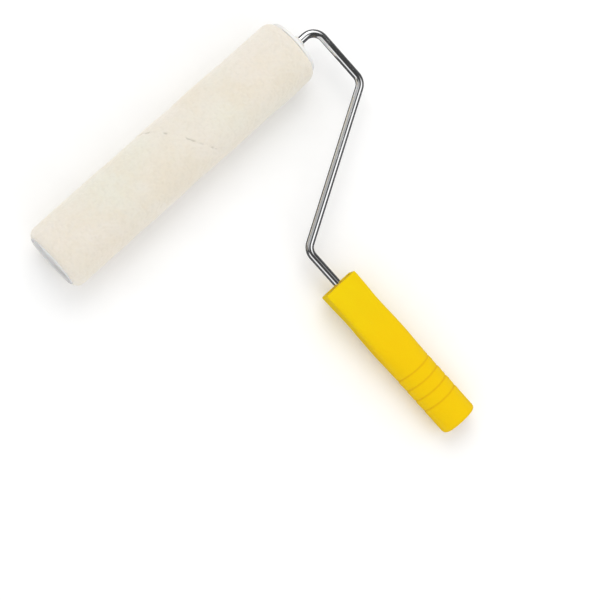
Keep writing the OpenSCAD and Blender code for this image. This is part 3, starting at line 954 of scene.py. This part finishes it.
class PAINTROLLER_OT_caps(bpy.types.Operator):
    """Builds the arm side cap with its flange, the free end's cup and the dust cap in it"""
    bl_idname = "paint_roller.caps"
    bl_label = "End Caps"

    def execute(self, context):
        sizes = context.scene.paint_roller_cage
        white = white_plastic(sizes)
        low, high = from_roller("arm_cap")
        flange, seat = high[2], sizes.seat_r
        plug_r = extent("free_cap")[2] / 2
        face = high[0] - sizes.flange_t
        corners = [(low[0], seat), (low[0], plug_r), (face, plug_r), (face, flange), (high[0], flange),
                   (high[0], seat)]
        line = rounded(corners, [0.4 * MM, 0.8 * MM, 0.3 * MM, 0.5 * MM, 1.0 * MM, 0.4 * MM])
        finish(turned("flange_cap", line, sides=160), white, "cage", ["arm_cap"])

        low, high = from_roller("free_cap")
        cup_wall, cup_depth = 2 * MM, 9 * MM
        cup, floor = plug_r - cup_wall, low[0] + cup_depth
        corners = [(low[0], cup), (low[0], plug_r), (high[0], plug_r), (high[0], seat), (floor, seat),
                   (floor, cup)]
        line = rounded(corners, [0.5 * MM, 0.8 * MM, 0.8 * MM, 0.4 * MM, 0.4 * MM, 0.6 * MM])
        finish(turned("end_cup", line, sides=160), white, "cage", ["free_cap"])

        low, high = from_roller("dust_cap")
        wall, step, step_r = 1.6 * MM, 0.5 * MM, 9 * MM
        inside, floor = cup - wall, low[0] + wall
        corners = [(low[0] + step, 0), (low[0] + step, step_r), (low[0], step_r + 1.5 * MM), (low[0], cup),
                   (high[0], cup), (high[0], inside), (floor, inside), (floor + 0.3 * MM, 0)]
        line = rounded(corners, [3 * MM, 3 * MM, 0.7 * MM, 0.3 * MM, 0.3 * MM, 0.5 * MM], closed=False)
        finish(turned("end_lid", line, closed=False, sides=128), white, "cage",
               ["dust_cap"])
        return {"FINISHED"}


class PAINTROLLER_OT_bearings(bpy.types.Operator):
    """Builds the two nylon bearings, with chamfered noses"""
    bl_idname = "paint_roller.bearings"
    bl_label = "Bearings"

    def execute(self, context):
        sizes = context.scene.paint_roller_cage
        nylon = moulded_plastic("Bearing Nylon", sizes.nylon, [0.9 * c for c in sizes.nylon], 0.38,
                                2000.0, 0.45, 0.2)
        for node, name in (("arm_bearing", "arm_bush"), ("free_bearing", "free_bush")):
            low, high = from_roller(node)
            inner = ROD_D / 2 + 0.05 * MM
            corners = [(low[0], inner), (low[0], sizes.seat_r), (high[0], sizes.seat_r), (high[0], inner)]
            line = rounded(corners, [0.2 * MM, 0.4 * MM, 0.9 * MM, 0.3 * MM])
            finish(turned(name, line, sides=96), nylon, "cage", [node])
        return {"FINISHED"}


def spider_skin(sizes):
    """Disc that holds the wires apart: its rim is notched where a wire lies, down to
    R·cos d - √(w² - R²·sin² d) at the angle d from the wire, and its edges are rounded."""
    low, high = from_roller("centre_spider")
    rim, wire = 17.35 * MM, sizes.wire_d / 2 + 0.1 * MM
    inner, soft, hole_soft = ROD_D / 2 + 1 * MM, 0.6 * MM, 0.3 * MM
    angle = np.linspace(0, 2 * np.pi, 320, endpoint=False)[None, :]
    off = (angle + np.pi / 5) % (2 * np.pi / 5) - np.pi / 5
    room = wire ** 2 - (rim * np.sin(off)) ** 2
    edge = np.where(room > 0, rim * np.cos(off) - np.sqrt(np.maximum(room, 0)), rim)
    scale = rim - inner
    corners = [(low[0], 0), (low[0], scale), (high[0], scale), (high[0], 0)]
    line = rounded(corners, [hole_soft, soft, soft, hole_soft])
    share = line[:, 1:] / scale
    r = inner + share * (edge - inner)
    grid = np.stack([line[:, :1] + 0 * angle, r * np.cos(angle), r * np.sin(angle)], -1) + ROLLER
    return skin("wire_spider", grid, closed=True)


class PAINTROLLER_OT_spider(bpy.types.Operator):
    """Builds the notched disc in the middle of the cage"""
    bl_idname = "paint_roller.spider"
    bl_label = "Centre Spider"

    def execute(self, context):
        piece = spider_skin(context.scene.paint_roller_frame)
        white = white_plastic(context.scene.paint_roller_cage)
        finish(piece, white, "cage", ["centre_spider"])
        return {"FINISHED"}


class PAINTROLLER_OT_hardware(bpy.types.Operator):
    """Gives the collar, the washers and the push nut on the rod their steel"""
    bl_idname = "paint_roller.hardware"
    bl_label = "Rod Hardware"

    def execute(self, context):
        steel = pressed_steel("Pressed Steel", context.scene.paint_roller_frame.steel)
        for node in ("thrust_collar", "thrust_washers", "push_nut"):
            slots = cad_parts[node].material_slots
            if not slots:
                raise RuntimeError(f"{node} has no material slot")
            for slot in slots:
                slot.material = steel
        return {"FINISHED"}


# ---- stage ----

def floor_skin(rise):
    """Round floor: height = low + rise·(y0 - y) + lift·max(0, r - flat)², which meets the cover's
    underside and the grip's tail, and turns up far outside the view."""
    reach, flat, lift = 7.0, 2.6, 0.12
    r = np.concatenate([[0], np.geomspace(0.05, reach, 60)])[:, None]
    t = np.linspace(0, 2 * np.pi, 96, endpoint=False)[None, :]
    x, y = r * np.cos(t), ROLLER[1] + r * np.sin(t)
    low = -NAP_D / 2
    z = low + rise * (ROLLER[1] - y) + lift * np.maximum(0, r - flat) ** 2
    mesh = bpy.data.meshes.new("floor")
    grid = np.stack([x, y, z], -1)
    rows, sides = grid.shape[:2]
    i, j = np.meshgrid(np.arange(1, rows - 1), np.arange(sides), indexing="ij")
    i, j = i.ravel(), j.ravel()
    right = (j + 1) % sides
    ring = np.arange(sides)
    base = 1 + (i - 1) * sides
    quads = np.stack([base + j, base + sides + j, base + sides + right, base + right], 1)
    fan = np.stack([0 * ring, 1 + ring, 1 + (ring + 1) % sides], 1)
    points = np.concatenate([grid[0, :1], grid[1:].reshape(-1, 3)])
    mesh.from_pydata(points.tolist(), [], fan.tolist() + quads.tolist())
    mesh.polygons.foreach_set("use_smooth", np.ones(len(mesh.polygons), bool))
    mesh.update()
    piece = bpy.data.objects.new("floor", mesh)
    bpy.context.scene.collection.objects.link(piece)
    return piece


def floor_paper(colour):
    """Matt pale paper. What a gloss sees of it is grey, as in a studio with dark surroundings."""
    made, tree, shader = new_material("Floor Paper")
    fibre = add_noise(tree, object_place(tree), 35.0, 4.0)
    base = mix_colour(tree, remap(tree, fibre, 0.3, 0.7, 0.0, 1.0), colour, [0.985 * c for c in colour])
    gloss = add_node(tree, "LightPath").outputs["Is Glossy Ray"]
    base = mix_colour(tree, gloss, base, (0.10, 0.10, 0.105))
    feed(tree, shader, {"Base Color": base, "Roughness": 0.9, "Specular IOR Level": 0.1})
    return made


# Soft panels that a gloss sees: direction, outer and inner angle in degrees, and brightness
PANELS = (
    ((-0.848, -0.025, 0.53), 25.0, 12.0, 0.95),
    ((0.475, -0.453, 0.751), 26.0, 13.0, 1.2),
    ((-0.174, 0.671, 0.717), 34.0, 16.0, 0.46),
    ((0.45, 0.55, 0.70), 30.0, 23.0, 1.25),
    ((0.40, 0.85, 0.30), 28.0, 20.0, 1.2),
)
# Brightness of the room that a gloss sees between the panels
GLOSS_ROOM = 0.055


def studio_world(settings):
    """Even pale room. Gloss sees a darker room with soft panels, each a smooth round window on the
    direction: how bright it is follows the angle between the direction and the panel's middle."""
    world = bpy.data.worlds.new("Studio")
    bpy.context.scene.world = world
    world.use_nodes = True
    tree = world.node_tree
    tree.nodes.clear()
    even = add_node(tree, "Background", {"Color": (1.0, 1.0, 1.0, 1.0), "Strength": settings.room})
    seen = add_node(tree, "Background", {"Color": (0.97, 0.97, 0.97, 1.0), "Strength": 1.0})
    direction = add_node(tree, "TexCoord").outputs["Generated"]
    total = GLOSS_ROOM
    for aim, outer, inner, glow in PANELS:
        near = add_node(tree, "VectorMath", {0: direction, 1: tuple(unit(np.array(aim)))},
                        operation="DOT_PRODUCT").outputs["Value"]
        window = remap(tree, near, math.cos(math.radians(outer)), math.cos(math.radians(inner)), 0, glow)
        total = arithmetic(tree, "ADD", total, window)
    gloss = add_node(tree, "Background", {"Color": total, "Strength": 1.0})
    rays = add_node(tree, "LightPath").outputs
    plain = add_node(tree, "MixShader", {0: rays["Is Camera Ray"], 1: even.outputs[0], 2: seen.outputs[0]})
    whole = add_node(tree, "MixShader", {0: rays["Is Glossy Ray"], 1: plain.outputs[0],
                                         2: gloss.outputs[0]})
    out = add_node(tree, "OutputWorld")
    tree.links.new(whole.outputs[0], out.inputs["Surface"])


def soft_light(name, place, aim, size, power, colour):
    """Large square light at place, turned to face aim, that gloss doesn't see."""
    data = bpy.data.lights.new(name, "AREA")
    data.size = size
    data.energy = power
    data.color = colour
    lamp = bpy.data.objects.new(name, data)
    heading = Vector(aim) - Vector(place)
    turn = heading.to_track_quat("-Z", "Y").to_matrix().to_4x4()
    lamp.matrix_world = Matrix.Translation(place) @ turn
    lamp.visible_glossy = False
    bpy.context.scene.collection.objects.link(lamp)


class PAINTROLLER_OT_stage(bpy.types.Operator):
    """Builds the floor, the light and the camera"""
    bl_idname = "paint_roller.stage"
    bl_label = "Stage"

    def execute(self, context):
        settings = context.scene.paint_roller_stage
        tail_low, tail_y = -context.scene.paint_roller_grip.palm_t / 2, 4 * MM
        rise = (tail_low + NAP_D / 2) / (ROLLER[1] - tail_y)
        floor = floor_skin(rise)
        floor.data.materials.append(floor_paper(settings.floor))
        studio_world(settings)
        soft_light("key", (0.55, 1.15, 1.5), (0, 0.2, 0), 1.3, settings.key, (1.0, 0.99, 0.97))
        soft_light("fill", (-0.3, -1.2, 0.9), (0, 0.15, 0), 1.2, settings.fill, (0.99, 0.995, 1.0))

        forward = unit(np.array(settings.look))
        up = np.array(settings.up)
        right = unit(np.cross(forward, up))
        up = np.cross(right, forward)
        turn = Matrix(np.stack([right, up, -forward], 1).tolist()).to_4x4()
        data = bpy.data.cameras.new("camera")
        data.lens = settings.lens
        data.sensor_width = 36.0
        data.clip_start = 0.01
        camera = bpy.data.objects.new("camera", data)
        camera.matrix_world = Matrix.Translation(settings.eye) @ turn
        context.scene.collection.objects.link(camera)
        context.scene.camera = camera
        context.scene.view_settings.view_transform = "Standard"
        return {"FINISHED"}


# ---- add-on ----

GROUPS = {
    "paint_roller_nap": PAINTROLLER_PG_nap,
    "paint_roller_grip": PAINTROLLER_PG_grip,
    "paint_roller_frame": PAINTROLLER_PG_frame,
    "paint_roller_cage": PAINTROLLER_PG_cage,
    "paint_roller_stage": PAINTROLLER_PG_stage,
}
OPERATORS = (
    PAINTROLLER_OT_stage,
    PAINTROLLER_OT_nap,
    PAINTROLLER_OT_tube,
    PAINTROLLER_OT_grip,
    PAINTROLLER_OT_plug,
    PAINTROLLER_OT_socket,
    PAINTROLLER_OT_rod,
    PAINTROLLER_OT_wires,
    PAINTROLLER_OT_caps,
    PAINTROLLER_OT_bearings,
    PAINTROLLER_OT_spider,
    PAINTROLLER_OT_hardware,
)


class PAINTROLLER_PT_build(bpy.types.Panel):
    """Lists the paint roller's pieces and their settings"""
    bl_idname = "PAINTROLLER_PT_build"
    bl_label = "Paint Roller"
    bl_space_type = "VIEW_3D"
    bl_region_type = "UI"
    bl_category = "Paint Roller"

    def draw(self, context):
        for kind in OPERATORS:
            self.layout.operator(kind.bl_idname)
        for name, kind in GROUPS.items():
            box = self.layout.box()
            for key in kind.__annotations__:
                box.prop(getattr(context.scene, name), key)


CLASSES = (*GROUPS.values(), *OPERATORS, PAINTROLLER_PT_build)


def register():
    for kind in CLASSES:
        bpy.utils.register_class(kind)
    for name, kind in GROUPS.items():
        setattr(bpy.types.Scene, name, bpy.props.PointerProperty(type=kind))


def unregister():
    for name in GROUPS:
        delattr(bpy.types.Scene, name)
    for kind in reversed(CLASSES):
        bpy.utils.unregister_class(kind)


def main():
    register()
    for kind in OPERATORS:
        group, name = kind.bl_idname.split(".")
        getattr(getattr(bpy.ops, group), name)()


if __name__ == "__main__":
    main()
